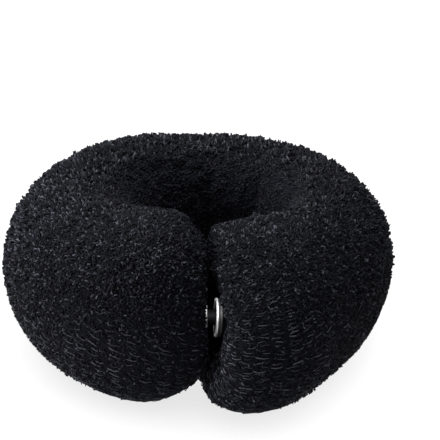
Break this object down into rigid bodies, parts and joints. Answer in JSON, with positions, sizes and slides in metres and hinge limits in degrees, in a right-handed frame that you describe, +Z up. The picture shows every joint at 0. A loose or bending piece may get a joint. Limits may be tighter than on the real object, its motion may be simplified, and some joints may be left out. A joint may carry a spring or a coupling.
{
  "type": "hair donut bun maker",
  "caption": "Soft foam roll in a black knitted terry sleeve, closed into a ring by a metal press snap, for shaping a hair bun.",
  "frame": {"origin": "on the floor, under the middle of the ring's footprint", "axes": "+Z up through the hole, -Y towards the snap, where the two ends meet"},
  "size_m": [0.094, 0.0938, 0.0477],
  "materials": {
    "knit": "black knitted terry with short curly loops",
    "foam": "open-cell foam",
    "snap": "polished plating"
  },
  "bodies": {
    "root": {"foam_core": "foam", "knit_sleeve": "knit", "snap_stud": "snap", "stud_post": "snap", "snap_socket": "snap", "socket_post": "snap"}
  },
  "joints": []
}
